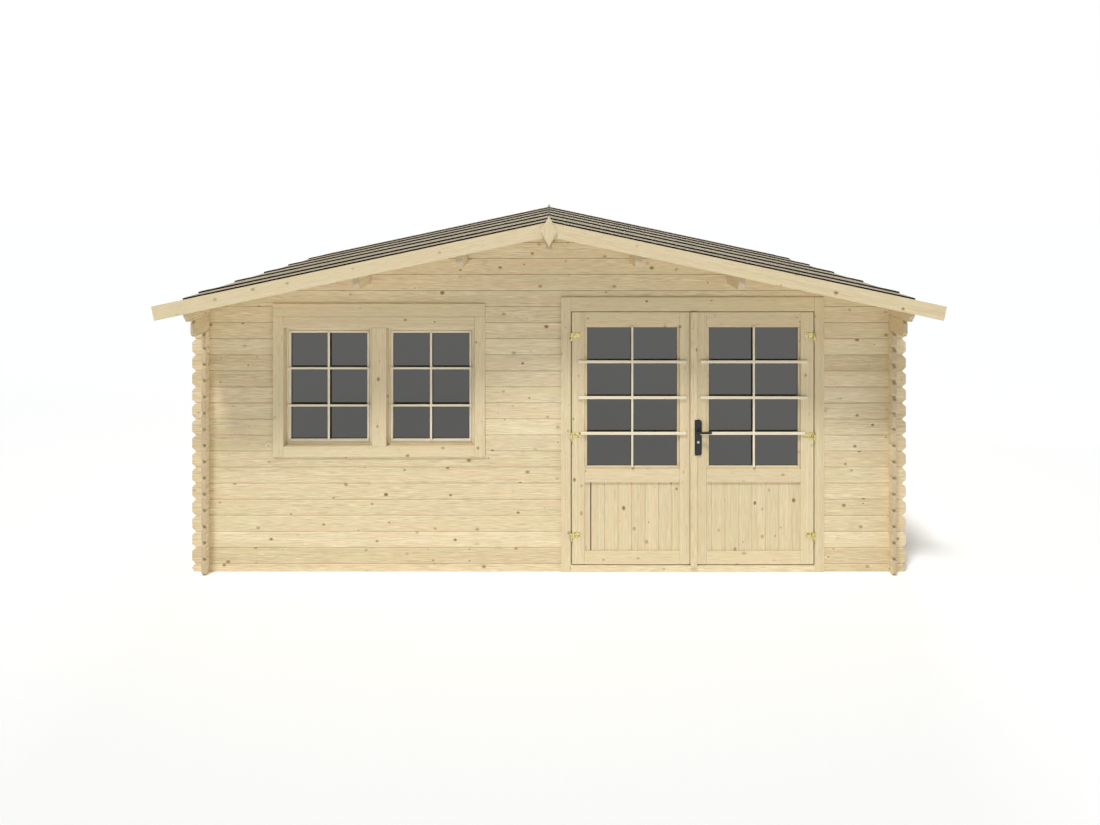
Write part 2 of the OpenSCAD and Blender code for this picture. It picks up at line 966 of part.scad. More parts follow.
module right_leaf_frame() {
    color(wood)
        difference() {
            leaf_frame(right_edge, leaf_r, right_meet_w, hinge_stile_w);
            lock_bores(collar_d, cylinder_d + 2 * fit);
        }
}

module right_leaf_panel() {
    color(board)
        leaf_panel(right_edge, leaf_r, right_meet_w, hinge_stile_w);
}

module right_leaf_glass() {
    color(glass_grey)
        leaf_glass(right_edge, leaf_r, right_meet_w, hinge_stile_w);
}

module right_leaf_straps() {
    color(yellow_zinc)
        for (z = hinge_zs)
            hinge_strap(door_r - hinge_dx, z, 1);
}

module cover_strip() {
    color(board)
        difference() {
            box([right_edge, leaf_face - fit - strip_t, leaf_bottom - strip_drop],
                [right_edge + strip_w, leaf_face - fit, leaf_top]);
            box([plate_x - plate_w / 2 - notch_room, leaf_face - strip_t - over, plate_z - notch_room],
                [plate_x + plate_w, leaf_face + over, plate_z + plate_h + notch_room]);
        }
}

// Lock furniture

// One plate with rounded corners, standing at y0
module plate_body(y0) {
    r = plate_corner;
    translate([plate_x - plate_w / 2, y0, plate_z])
        along_y(plate_t) {
            translate([r, 0])
                square([plate_w - 2 * r, plate_h]);
            translate([0, r])
                square([plate_w, plate_h - 2 * r]);
            for (x = [r, plate_w - r])
                for (z = [r, plate_h - r])
                    translate([x, z])
                        circle(r);
        }
}

module handle_plates() {
    color(black_iron)
        difference() {
            union() {
                plate_body(leaf_face - fit - plate_t);
                plate_body(leaf_face + leaf_t + fit);
            }
            lock_bores(spindle_d + 2 * pin_room, cylinder_d + 2 * fit);
        }
}

module lock_cylinder() {
    front = leaf_face - fit - plate_t - cylinder_out;
    length = leaf_t + 2 * (fit + plate_t + cylinder_out);
    color(steel_grey)
        translate([plate_x, front, cylinder_z])
            difference() {
                rotate([-90, 0, 0])
                    cylinder(d = cylinder_d, h = length);
                for (y = [-over, length - key_d])
                    translate([-key_w / 2, y, -key_h / 2])
                        cube([key_w, key_d + over, key_h]);
            }
}

// One handle: collar, neck and a flat grip with round ends, for the outer side
module handle(y_plate) {
    for (round = [[collar_d, collar_l], [neck_d, lever_out]])
        translate([plate_x, y_plate - fit, spindle_z])
            rotate([90, 0, 0])
                cylinder(d = round[0], h = round[1]);
    translate([plate_x, y_plate - lever_out - lever_t / 2, spindle_z])
        along_y(lever_t) {
            circle(d = lever_d);
            translate([0, -lever_d / 2])
                square([lever_l, lever_d]);
            translate([lever_l, 0])
                circle(d = lever_d);
        }
}

module door_lever() {
    outer_plate = leaf_face - fit - plate_t;
    inner_plate = leaf_face + leaf_t + fit + plate_t;
    middle = leaf_face + leaf_t / 2;
    color(black_iron) {
        handle(outer_plate);
        translate([0, 2 * middle, 0])
            mirror([0, 1, 0])
                handle(outer_plate);
        translate([plate_x, outer_plate - over, spindle_z])
            rotate([-90, 0, 0])
                cylinder(d = spindle_d, h = inner_plate - outer_plate + 2 * over);
    }
}

floor_joists();
floor_boards();
front_sill_logs();
front_corner_logs();
front_pier_logs();
front_right_logs();
front_gable_logs();
back_wall_logs();
back_gable_logs();
left_wall_logs();
right_wall_logs();
left_eave_log();
right_eave_log();
ridge_purlin();
left_purlins();
right_purlins();
left_roof_deck();
right_roof_deck();
left_roof_felt();
right_roof_felt();
front_barge_boards();
back_barge_boards();
gable_diamonds();
door_frame();
door_casing();
door_threshold();
hinge_pins();
window_frame();
window_casing();
left_sash();
right_sash();
window_glass();
left_leaf_frame();
left_leaf_panel();
left_leaf_glass();
left_leaf_straps();
right_leaf_frame();
right_leaf_panel();
right_leaf_glass();
right_leaf_straps();
cover_strip();
handle_plates();
lock_cylinder();
door_lever();
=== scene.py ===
import math
import random

import bmesh
import bpy
from mathutils import Matrix, Vector


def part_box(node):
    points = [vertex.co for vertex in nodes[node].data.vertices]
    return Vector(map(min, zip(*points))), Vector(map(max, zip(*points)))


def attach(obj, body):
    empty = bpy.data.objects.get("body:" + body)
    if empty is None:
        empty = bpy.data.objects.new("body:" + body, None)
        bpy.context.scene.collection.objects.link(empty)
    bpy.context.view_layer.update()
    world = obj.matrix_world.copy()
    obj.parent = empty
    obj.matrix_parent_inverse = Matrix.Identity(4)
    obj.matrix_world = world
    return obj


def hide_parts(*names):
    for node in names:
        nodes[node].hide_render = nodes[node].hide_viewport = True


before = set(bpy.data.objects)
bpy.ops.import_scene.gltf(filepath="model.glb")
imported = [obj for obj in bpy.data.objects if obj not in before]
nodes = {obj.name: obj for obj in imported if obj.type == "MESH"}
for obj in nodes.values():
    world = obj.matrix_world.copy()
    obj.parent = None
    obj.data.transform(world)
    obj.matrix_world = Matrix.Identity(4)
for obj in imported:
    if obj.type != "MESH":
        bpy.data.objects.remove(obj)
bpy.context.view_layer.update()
scene = bpy.context.scene
scene.view_settings.view_transform = "Standard"
print("frame loaded:", len(nodes), "nodes")

# camera: level, a little above the ridge, looking square at the front wall
view = {"eye": (0.0, -9.795, 2.744), "lens": 36.43, "sensor": 36.0, "shiftX": 0.0009, "shiftY": -0.2068}
eye = bpy.data.cameras.new("eye")
eye.lens, eye.sensor_width = view["lens"], view["sensor"]
eye.shift_x, eye.shift_y = view["shiftX"], view["shiftY"]
eyeObject = bpy.data.objects.new("eye", eye)
eyeObject.location = view["eye"]
eyeObject.rotation_euler = (math.radians(90), 0, 0)
scene.collection.objects.link(eyeObject)
scene.camera = eyeObject
print("camera set")


def toLinear(hexColour):
    parts = [int(hexColour[i:i + 2], 16) / 255 for i in (1, 3, 5)]
    return tuple(p / 12.92 if p <= 0.04045 else ((p + 0.055) / 1.055) ** 2.4 for p in parts) + (1.0,)


def addNode(tree, kind, links=None, **settings):
    node = tree.nodes.new(kind)
    for name, value in settings.items():
        setattr(node, name, value)
    for socket, value in (links or {}).items():
        if isinstance(value, bpy.types.NodeSocket):
            tree.links.new(value, node.inputs[socket])
        else:
            node.inputs[socket].default_value = value
    return node


def newMaterial(name):
    material = bpy.data.materials.new(name)
    material.use_nodes = True
    material.node_tree.nodes.clear()
    return material, material.node_tree


noiseMiddle = (0.5, 0.5, 0.5)  # noise runs from 0 to 1, and taking this off makes it swing both ways
noiseFrom, noiseTo = 0.3, 0.7  # most values of a noise lie between these

# Planed spruce, untreated: cream with short grey-brown streaks along the grain, pinkish and greenish
# patches, many small brown knots, duller and pinker where the saw cut across the grain.
# Sizes are in metres. A scale gives waves a metre, along the grain and then across it.
# Two values in brackets are the start and the end of a change, or its least and its most.
spruce = {
    "pale": "#F2E3C1", "streak": "#C9B48C", "blush": "#E6C8A8", "moss": "#DCD1A2", "cut": "#C9B79E",
    "knot": "#9C7845", "knotCore": "#6B4A24",
    "spread": 61.0, "start": (60.0, 0.10, 0.13),
    "wanderScale": (1.4, 6.0, 6.0), "sweep": (0.0, 0.003, 0.003),
    "ringGap": 0.007, "ringShare": 0.45, "streakScale": (10.0, 230.0, 230.0), "streakFrom": (0.55, 0.91),
    "fibre": 0.0016, "fibreAlong": 4.0, "fibreScale": 0.35, "fibreTone": (0.95, 1.05), "ownTone": (0.97, 1.02),
    "patchScale": (2.2, 34.0, 34.0), "patchFrom": (0.48, 0.72), "patchMost": 0.55,
    "knotCell": (0.26, 0.114), "knotSize": (0.013, 0.010), "knotFrom": 0.28, "knotScatter": 0.95,
    "knotReach": (0.35, 1.3), "knotRim": (-0.25, 0.15), "knotHeart": (-0.7, -0.2), "knotDepth": (0.2, 0.85),
    "bend": 0.0016, "bendFrom": (0.6, 2.4), "cutFacing": (0.3, 0.5),
    # painted shade darkens the joint under each log, and a painted highlight lightens each log's upper edge
    "seam": 0.72, "seamWidth": 0.005, "seamDeepShare": 0.55,
    "crestHighlight": 1.1, "crestWidth": 0.010, "crestTopShare": 0.6,
    "rough": (0.6, 0.75), "relief": 0.0006, "reliefStrength": 0.3, "gleam": 0.2,
}
# The boards are sawn from calmer wood than the logs.
boardWood = dict(spruce, pale="#EADBB9", streak="#D0BD95")
# The bars and beads are clear wood, almost white, with hardly a knot.
clearWood = dict(spruce, pale="#F6EFDD", streak="#E0D2B0", blush="#EEDDC4", moss="#EAE2C8", knotFrom=0.93)
# Painted shade: the tongue deep in the open joint is coloured dull brown, for the shade that falls there.
jointShadeWood = dict(spruce, pale="#6E5638", streak="#54402A", blush="#654C30", moss="#5E4E32", cut="#5A4630")


def spruceMaterial(name, grain, look=spruce, course=None):
    material, tree = newMaterial(name)
    if grain == "timber":
        # boards carry their own grain coordinates, a number of their own and a mark on cut ends
        place = addNode(tree, "ShaderNodeAttribute", attribute_name="timber").outputs["Vector"]
        seed = addNode(tree, "ShaderNodeAttribute", attribute_name="seed").outputs["Fac"]
        cutEnd = addNode(tree, "ShaderNodeAttribute", attribute_name="cut").outputs["Fac"]
    else:
        spot = addNode(tree, "ShaderNodeTexCoord")
        xyz = addNode(tree, "ShaderNodeSeparateXYZ", {0: spot.outputs["Object"]})
        order = {"x": "XZY", "y": "YZX", "z": "ZXY"}[grain]
        across = xyz.outputs[order[1]]
        own = addNode(tree, "ShaderNodeObjectInfo").outputs["Random"]
        number = addNode(tree, "ShaderNodeMath", {0: own, 1: look["spread"]}, operation="MULTIPLY").outputs[0]
        if course:
            # each course is a log of its own, so its place is taken from its own middle
            high, base = course
            step = addNode(tree, "ShaderNodeMath", {0: xyz.outputs["Z"], 1: base}, operation="SUBTRACT")
            step = addNode(tree, "ShaderNodeMath", {0: step.outputs[0], 1: high}, operation="DIVIDE")
            step = addNode(tree, "ShaderNodeMath", {0: step.outputs[0]}, operation="FLOOR").outputs[0]
            middle = addNode(tree, "ShaderNodeMath", {0: step, 1: high, 2: base + high / 2},
                             operation="MULTIPLY_ADD").outputs[0]
            across = addNode(tree, "ShaderNodeMath", {0: across, 1: middle}, operation="SUBTRACT").outputs[0]
            number = addNode(tree, "ShaderNodeMath", {0: number, 1: step}, operation="ADD").outputs[0]
            # painted shade: the joint under a log is darkened, where shade falls in its groove
            wide = look["seamWidth"]
            seam = addNode(tree, "ShaderNodeMapRange",
                           {0: across, 1: -high / 2 + wide * look["seamDeepShare"], 2: -high / 2 + wide,
                            3: look["seam"], 4: 1.0}, interpolation_type="SMOOTHSTEP").outputs[0]
            # painted highlight: the upper edge of a log is made paler, where its chamfer catches the sun
            wide = look["crestWidth"]
            crestHighlight = addNode(tree, "ShaderNodeMapRange",
                            {0: across, 1: high / 2 - wide, 2: high / 2 - wide * look["crestTopShare"],
                             3: 1.0, 4: look["crestHighlight"]}, interpolation_type="SMOOTHSTEP").outputs[0]
            edgeShadeAndHighlight = addNode(tree, "ShaderNodeMath", {0: seam, 1: crestHighlight}, operation="MULTIPLY").outputs[0]
        place = addNode(tree, "ShaderNodeCombineXYZ",
                        {0: xyz.outputs[order[0]], 1: across, 2: xyz.outputs[order[2]]}).outputs[0]
        seed = addNode(tree, "ShaderNodeTexWhiteNoise", {"W": number}, noise_dimensions="1D").outputs["Value"]
        facing = addNode(tree, "ShaderNodeSeparateXYZ", {0: spot.outputs["Normal"]}).outputs[order[0]]
        facing = addNode(tree, "ShaderNodeMath", {0: facing}, operation="ABSOLUTE").outputs[0]
        cutEnd = addNode(tree, "ShaderNodeMapRange",
                         {0: facing, 1: look["cutFacing"][0], 2: look["cutFacing"][1]},
                         interpolation_type="SMOOTHSTEP").outputs[0]
    # every piece starts at a spot of its own in the wood
    away = addNode(tree, "ShaderNodeTexWhiteNoise", {"W": seed}, noise_dimensions="1D").outputs["Color"]
    pith = addNode(tree, "ShaderNodeVectorMath", {0: away, 1: noiseMiddle}, operation="SUBTRACT").outputs[0]
    pith = addNode(tree, "ShaderNodeVectorMath", {0: pith, 1: look["start"]}, operation="MULTIPLY").outputs[0]
    shifted = addNode(tree, "ShaderNodeVectorMath", {0: place, 1: pith}, operation="ADD").outputs[0]
    # slow wander of the grain along the piece
    slow = addNode(tree, "ShaderNodeVectorMath", {0: shifted, 1: look["wanderScale"]},
                   operation="MULTIPLY").outputs[0]
    wander = addNode(tree, "ShaderNodeTexNoise", {"Vector": slow, "Scale": 1.0, "Detail": 1.0})
    wander = addNode(tree, "ShaderNodeVectorMath", {0: wander.outputs["Color"], 1: noiseMiddle},
                     operation="SUBTRACT").outputs[0]
    # knots: one chance in each cell along the piece, each with a size and a depth of colour of its own
    cell, size = look["knotCell"], look["knotSize"]
    cells = addNode(tree, "ShaderNodeVectorMath", {0: shifted, 1: (1 / cell[0], 1 / cell[1], 0)},
                    operation="MULTIPLY").outputs[0]
    knots = addNode(tree, "ShaderNodeTexVoronoi",
                    {"Vector": cells, "Scale": 1.0, "Randomness": look["knotScatter"]}, voronoi_dimensions="2D")
    gap = addNode(tree, "ShaderNodeVectorMath", {0: cells, 1: knots.outputs["Position"]},
                  operation="SUBTRACT").outputs[0]
    gap = addNode(tree, "ShaderNodeVectorMath", {0: gap, 1: (cell[0] / size[0], cell[1] / size[1], 0)},
                  operation="MULTIPLY").outputs[0]
    ragged = addNode(tree, "ShaderNodeVectorMath", {0: wander, 1: (1, 1, 0)}, operation="MULTIPLY").outputs[0]
    gap = addNode(tree, "ShaderNodeVectorMath", {0: gap, 1: ragged}, operation="ADD").outputs[0]
    far = addNode(tree, "ShaderNodeVectorMath", {0: gap}, operation="LENGTH").outputs["Value"]
    chance = addNode(tree, "ShaderNodeSeparateXYZ", {0: knots.outputs["Color"]})
    reach = addNode(tree, "ShaderNodeMapRange",
                    {0: chance.outputs[0], 1: look["knotFrom"], 2: 1.0,
                     3: look["knotReach"][0], 4: look["knotReach"][1]}).outputs[0]
    there = addNode(tree, "ShaderNodeMath", {0: chance.outputs[0], 1: look["knotFrom"]},
                    operation="GREATER_THAN").outputs[0]
    inner = addNode(tree, "ShaderNodeMath", {0: far, 1: reach}, operation="SUBTRACT").outputs[0]
    knot = addNode(tree, "ShaderNodeMapRange",
                   {0: inner, 1: look["knotRim"][0], 2: look["knotRim"][1], 3: 1.0, 4: 0.0},
                   interpolation_type="SMOOTHSTEP").outputs[0]
    core = addNode(tree, "ShaderNodeMapRange",
                   {0: inner, 1: look["knotHeart"][0], 2: look["knotHeart"][1], 3: 1.0, 4: 0.0}).outputs[0]
    depth = addNode(tree, "ShaderNodeMapRange",
                    {0: chance.outputs[1], 3: look["knotDepth"][0], 4: look["knotDepth"][1]}).outputs[0]
    depth = addNode(tree, "ShaderNodeMath", {0: depth, 1: there}, operation="MULTIPLY").outputs[0]
    knot = addNode(tree, "ShaderNodeMath", {0: knot, 1: depth}, operation="MULTIPLY").outputs[0]
    # the grain bends round a knot
    halo = addNode(tree, "ShaderNodeMapRange",
                   {0: far, 1: look["bendFrom"][0], 2: look["bendFrom"][1], 3: look["bend"], 4: 0.0},
                   interpolation_type="SMOOTHSTEP").outputs[0]
    halo = addNode(tree, "ShaderNodeMath", {0: halo, 1: there}, operation="MULTIPLY").outputs[0]
    sweep = addNode(tree, "ShaderNodeVectorMath", {0: wander, 1: look["sweep"]},
                    operation="MULTIPLY").outputs[0]
    bent = addNode(tree, "ShaderNodeVectorMath", {0: shifted, 1: sweep}, operation="ADD").outputs[0]
    # year rings round the pith, short streaks, fine fibres and broad patches
    flat = addNode(tree, "ShaderNodeVectorMath", {0: bent, 1: (0, 1, 1)}, operation="MULTIPLY").outputs[0]
    radius = addNode(tree, "ShaderNodeVectorMath", {0: flat}, operation="LENGTH").outputs["Value"]
    radius = addNode(tree, "ShaderNodeMath", {0: radius, 1: halo}, operation="ADD").outputs[0]
    rings = addNode(tree, "ShaderNodeMath", {0: radius, 1: 1 / look["ringGap"]},
                    operation="MULTIPLY").outputs[0]
    rings = addNode(tree, "ShaderNodeTexNoise", {"W": rings, "Scale": 1.0, "Detail": 2.0, "Roughness": 0.55},
                    noise_dimensions="1D").outputs["Fac"]
    short = addNode(tree, "ShaderNodeVectorMath", {0: bent, 1: look["streakScale"]},
                    operation="MULTIPLY").outputs[0]
    streak = addNode(tree, "ShaderNodeTexNoise",
                     {"Vector": short, "Scale": 1.0, "Detail": 3.0, "Roughness": 0.6}).outputs["Fac"]
    thin = 1 / look["fibre"]
    fine = addNode(tree, "ShaderNodeVectorMath", {0: bent, 1: (look["fibreAlong"], thin, thin)},
                   operation="MULTIPLY").outputs[0]
    fibre = addNode(tree, "ShaderNodeTexNoise",
                    {"Vector": fine, "Scale": look["fibreScale"], "Detail": 2.0}).outputs["Fac"]
    broad = addNode(tree, "ShaderNodeVectorMath", {0: bent, 1: look["patchScale"]},
                    operation="MULTIPLY").outputs[0]
    patch = addNode(tree, "ShaderNodeTexNoise", {"Vector": broad, "Scale": 1.0, "Detail": 2.0}).outputs["Color"]
    patch = addNode(tree, "ShaderNodeSeparateXYZ", {0: patch})
    # colour, from pale early wood to the darker streaks, then patches, knots, cut ends and fibres
    streaks = addNode(tree, "ShaderNodeMath", {0: rings, 1: look["ringShare"], 2: streak},
                      operation="MULTIPLY_ADD").outputs[0]
    lateWood = addNode(tree, "ShaderNodeMapRange",
                       {0: streaks, 1: look["streakFrom"][0], 2: look["streakFrom"][1]}).outputs[0]
    colour = addNode(tree, "ShaderNodeMix",
                     {0: lateWood, 6: toLinear(look["pale"]), 7: toLinear(look["streak"])},
                     data_type="RGBA").outputs[2]
    for channel, stain in ((0, "blush"), (1, "moss")):
        amount = addNode(tree, "ShaderNodeMapRange",
                         {0: patch.outputs[channel], 1: look["patchFrom"][0], 2: look["patchFrom"][1],
                          3: 0.0, 4: look["patchMost"]}).outputs[0]
        colour = addNode(tree, "ShaderNodeMix", {0: amount, 6: colour, 7: toLinear(look[stain])},
                         data_type="RGBA").outputs[2]
    tone = addNode(tree, "ShaderNodeMapRange",
                   {0: fibre, 1: noiseFrom, 2: noiseTo,
                    3: look["fibreTone"][0], 4: look["fibreTone"][1]}).outputs[0]
    ownTone = addNode(tree, "ShaderNodeMapRange",
                      {0: seed, 3: look["ownTone"][0], 4: look["ownTone"][1]}).outputs[0]
    tone = addNode(tree, "ShaderNodeMath", {0: tone, 1: ownTone}, operation="MULTIPLY").outputs[0]
    if course:
        # the painted shade of the joint and the painted highlight of the upper edge
        tone = addNode(tree, "ShaderNodeMath", {0: tone, 1: edgeShadeAndHighlight}, operation="MULTIPLY").outputs[0]
    knotColour = addNode(tree, "ShaderNodeMix",
                         {0: core, 6: toLinear(look["knot"]), 7: toLinear(look["knotCore"])},
                         data_type="RGBA").outputs[2]
    colour = addNode(tree, "ShaderNodeMix", {0: knot, 6: colour, 7: knotColour}, data_type="RGBA").outputs[2]
    endColour = addNode(tree, "ShaderNodeMix",
                        {0: lateWood, 6: toLinear(look["cut"]), 7: toLinear(look["streak"])},
                        data_type="RGBA").outputs[2]
    colour = addNode(tree, "ShaderNodeMix", {0: cutEnd, 6: colour, 7: endColour}, data_type="RGBA").outputs[2]
    colour = addNode(tree, "ShaderNodeVectorMath", {0: colour, 1: tone}, operation="MULTIPLY").outputs[0]
    rough = addNode(tree, "ShaderNodeMapRange",
                    {0: rings, 1: noiseFrom, 2: noiseTo,
                     3: look["rough"][0], 4: look["rough"][1]}).outputs[0]
    height = addNode(tree, "ShaderNodeMath", {0: fibre, 1: rings}, operation="ADD").outputs[0]
    bump = addNode(tree, "ShaderNodeBump", {"Height": height, "Strength": look["reliefStrength"],
                                            "Distance": look["relief"]}).outputs[0]
    shader = addNode(tree, "ShaderNodeBsdfPrincipled",
                     {"Base Color": colour, "Roughness": rough, "Normal": bump,
                      "Specular IOR Level": look["gleam"]})
    addNode(tree, "ShaderNodeOutputMaterial", {0: shader.outputs[0]})
    return material


# The side walls start with a whole log, the front and the back half a course higher.
courses = {"height": 0.114, "frontBase": 0.057, "sideBase": 0.0}
spruceLogsX = spruceMaterial("spruce_logs_across", "x", course=(courses["height"], courses["frontBase"]))
spruceLogsY = spruceMaterial("spruce_logs_deep", "y", course=(courses["height"], courses["sideBase"]))
spruceBeamY = spruceMaterial("spruce_beam", "y")
spruceRailX = spruceMaterial("spruce_rail", "x")
sprucePostZ = spruceMaterial("spruce_post", "z")
spruceBoard = spruceMaterial("spruce_board", "timber", boardWood)
spruceClear = spruceMaterial("spruce_clear", "timber", clearWood)
spruceJointShade = spruceMaterial("spruce_joint_shade", "timber", jointShadeWood)
print("spruce ready")


# Bitumen felt with crushed stone on top: dull brown-grey with light and dark grit, black at the cut edges.
felt = {"stone": "#AB9F86", "dark": "#80745D", "light": "#C7BBA2", "edge": "#14100A",
        "grit": 0.004, "gritFrom": (0.35, 0.65), "patch": 0.2, "patchMix": (0.25, 0.75),
        "cloud": 0.45, "cloudTone": (0.88, 1.1), "topFacing": (0.5, 0.7), "rough": 0.9,
        "relief": 0.001, "reliefStrength": 0.6, "gleam": 0.2}
roofFelt, tree = newMaterial("mineral_felt")
spot = addNode(tree, "ShaderNodeTexCoord")
grit = addNode(tree, "ShaderNodeTexNoise",
               {"Vector": spot.outputs["Object"], "Scale": 1 / felt["grit"], "Detail": 2.0}).outputs["Fac"]
patch = addNode(tree, "ShaderNodeTexNoise",
                {"Vector": spot.outputs["Object"], "Scale": 1 / felt["patch"], "Detail": 3.0}).outputs["Fac"]
cloud = addNode(tree, "ShaderNodeTexNoise", {"Vector": spot.outputs["Object"], "Scale": 1 / felt["cloud"],
                                             "Detail": 5.0, "Roughness": 0.65}).outputs["Fac"]
grain = addNode(tree, "ShaderNodeMapRange",
                {0: grit, 1: felt["gritFrom"][0], 2: felt["gritFrom"][1]}).outputs[0]
colour = addNode(tree, "ShaderNodeMix", {0: grain, 6: toLinear(felt["dark"]), 7: toLinear(felt["light"])},
                 data_type="RGBA").outputs[2]
soft = addNode(tree, "ShaderNodeMapRange",
               {0: patch, 1: noiseFrom, 2: noiseTo,
                3: felt["patchMix"][0], 4: felt["patchMix"][1]}).outputs[0]
colour = addNode(tree, "ShaderNodeMix", {0: soft, 6: colour, 7: toLinear(felt["stone"])},
                 data_type="RGBA").outputs[2]
cloud = addNode(tree, "ShaderNodeMapRange",
                {0: cloud, 1: noiseFrom, 2: noiseTo,
                 3: felt["cloudTone"][0], 4: felt["cloudTone"][1]}).outputs[0]
colour = addNode(tree, "ShaderNodeVectorMath", {0: colour, 1: cloud}, operation="MULTIPLY").outputs[0]
up = addNode(tree, "ShaderNodeSeparateXYZ", {0: spot.outputs["Normal"]}).outputs["Z"]
top = addNode(tree, "ShaderNodeMapRange", {0: up, 1: felt["topFacing"][0], 2: felt["topFacing"][1]}).outputs[0]
colour = addNode(tree, "ShaderNodeMix", {0: top, 6: toLinear(felt["edge"]), 7: colour},
                 data_type="RGBA").outputs[2]
bump = addNode(tree, "ShaderNodeBump", {"Height": grit, "Strength": felt["reliefStrength"],
                                        "Distance": felt["relief"]}).outputs[0]
shader = addNode(tree, "ShaderNodeBsdfPrincipled", {"Base Color": colour, "Roughness": felt["rough"],
                                                    "Normal": bump, "Specular IOR Level": felt["gleam"]})
addNode(tree, "ShaderNodeOutputMaterial", {0: shader.outputs[0]})

# Double float glass: its near black body is painted shade for the dark room behind, and it mirrors the bright
# surroundings as an even grey.
glazing = {"body": "#0B0B0B", "ior": 2.0, "tint": (1.0, 0.985, 0.955, 1.0), "rippleScale": 3.0,
           "relief": 0.002, "reliefStrength": 0.05, "haze": (0.02, 0.05)}
paneGlass, tree = newMaterial("float_glass")
spot = addNode(tree, "ShaderNodeTexCoord")
ripple = addNode(tree, "ShaderNodeTexNoise",
                 {"Vector": spot.outputs["Object"], "Scale": glazing["rippleScale"],
                  "Detail": 1.0}).outputs["Fac"]
bump = addNode(tree, "ShaderNodeBump", {"Height": ripple, "Strength": glazing["reliefStrength"],
                                        "Distance": glazing["relief"]}).outputs[0]
haze = addNode(tree, "ShaderNodeMapRange",
               {0: ripple, 3: glazing["haze"][0], 4: glazing["haze"][1]}).outputs[0]
shader = addNode(tree, "ShaderNodeBsdfPrincipled",
                 {"Base Color": toLinear(glazing["body"]), "IOR": glazing["ior"], "Roughness": haze,
                  "Normal": bump, "Specular Tint": glazing["tint"]})
addNode(tree, "ShaderNodeOutputMaterial", {0: shader.outputs[0]})

# Yellow passivated zinc on steel: pale gold with cloudy patches, satin.
zinc = {"gold": "#E9DC98", "cloud": "#6F5B22", "cloudScale": 90.0, "cloudFrom": (0.44, 0.64),
        "metallic": 0.75, "rough": (0.3, 0.45)}
yellowZinc, tree = newMaterial("yellow_zinc")
spot = addNode(tree, "ShaderNodeTexCoord")
cloud = addNode(tree, "ShaderNodeTexNoise", {"Vector": spot.outputs["Object"], "Scale": zinc["cloudScale"],
                                             "Detail": 3.0}).outputs["Fac"]
dull = addNode(tree, "ShaderNodeMapRange",
               {0: cloud, 1: zinc["cloudFrom"][0], 2: zinc["cloudFrom"][1]}).outputs[0]
colour = addNode(tree, "ShaderNodeMix", {0: dull, 6: toLinear(zinc["gold"]), 7: toLinear(zinc["cloud"])},
                 data_type="RGBA").outputs[2]
rough = addNode(tree, "ShaderNodeMapRange", {0: cloud, 3: zinc["rough"][0], 4: zinc["rough"][1]}).outputs[0]
shader = addNode(tree, "ShaderNodeBsdfPrincipled",
                 {"Base Color": colour, "Metallic": zinc["metallic"], "Roughness": rough})
addNode(tree, "ShaderNodeOutputMaterial", {0: shader.outputs[0]})

# Powder coated iron: near black, fine orange peel, soft sheen.
coat = {"black": "#100E0F", "worn": "#1D1A1B", "peelScale": 700.0, "rough": 0.42, "relief": 0.0003,
        "reliefStrength": 0.2}
blackIron, tree = newMaterial("powder_coated_iron")
spot = addNode(tree, "ShaderNodeTexCoord")
peel = addNode(tree, "ShaderNodeTexNoise", {"Vector": spot.outputs["Object"], "Scale": coat["peelScale"],
                                            "Detail": 2.0}).outputs["Fac"]
colour = addNode(tree, "ShaderNodeMix", {0: peel, 6: toLinear(coat["black"]), 7: toLinear(coat["worn"])},
                 data_type="RGBA").outputs[2]
bump = addNode(tree, "ShaderNodeBump", {"Height": peel, "Strength": coat["reliefStrength"],
                                        "Distance": coat["relief"]}).outputs[0]
shader = addNode(tree, "ShaderNodeBsdfPrincipled",
                 {"Base Color": colour, "Roughness": coat["rough"], "Normal": bump})
addNode(tree, "ShaderNodeOutputMaterial", {0: shader.outputs[0]})

# Nickel plated brass: bright grey, turned on a lathe.
plating = {"nickel": "#D8D5CF", "shade": "#B4B0A8", "turnScale": 400.0, "rough": (0.22, 0.4)}
nickel, tree = newMaterial("nickel_plate")
spot = addNode(tree, "ShaderNodeTexCoord")
turned = addNode(tree, "ShaderNodeTexNoise", {"Vector": spot.outputs["Object"], "Scale": plating["turnScale"],
                                              "Detail": 2.0}).outputs["Fac"]
colour = addNode(tree, "ShaderNodeMix",
                 {0: turned, 6: toLinear(plating["nickel"]), 7: toLinear(plating["shade"])},
                 data_type="RGBA").outputs[2]
rough = addNode(tree, "ShaderNodeMapRange",
                {0: turned, 3: plating["rough"][0], 4: plating["rough"][1]}).outputs[0]
shader = addNode(tree, "ShaderNodeBsdfPrincipled", {"Base Color": colour, "Metallic": 1.0, "Roughness": rough})
addNode(tree, "ShaderNodeOutputMaterial", {0: shader.outputs[0]})
print("materials ready")

# what each solid of the frame is made of
finishes = {
    spruceLogsX: ["front_sill_logs", "front_corner_logs", "front_pier_logs", "front_right_logs",
                  "front_gable_logs", "back_wall_logs", "back_gable_logs"],
    spruceLogsY: ["left_wall_logs", "right_wall_logs"],
    spruceBeamY: ["left_eave_log", "right_eave_log", "ridge_purlin", "left_purlins", "right_purlins",
                  "floor_joists"],
    spruceRailX: ["door_threshold"],
    sprucePostZ: ["door_frame", "cover_strip"],
    spruceBoard: ["floor_boards", "left_roof_deck", "right_roof_deck", "front_barge_boards",
                  "back_barge_boards", "gable_diamonds", "door_casing", "window_casing", "window_frame",
                  "left_sash", "right_sash", "left_leaf_frame", "right_leaf_frame", "left_leaf_panel",
                  "right_leaf_panel"],
    roofFelt: ["left_roof_felt", "right_roof_felt"],
    paneGlass: ["window_glass", "left_leaf_glass", "right_leaf_glass"],
    yellowZinc: ["hinge_pins", "left_leaf_straps", "right_leaf_straps"],
    blackIron: ["handle_plates", "door_lever"],
    nickel: ["lock_cylinder"],
}
for finish, names in finishes.items():
    for name in names:
        nodes[name].data.materials.clear()
        nodes[name].data.materials.append(finish)

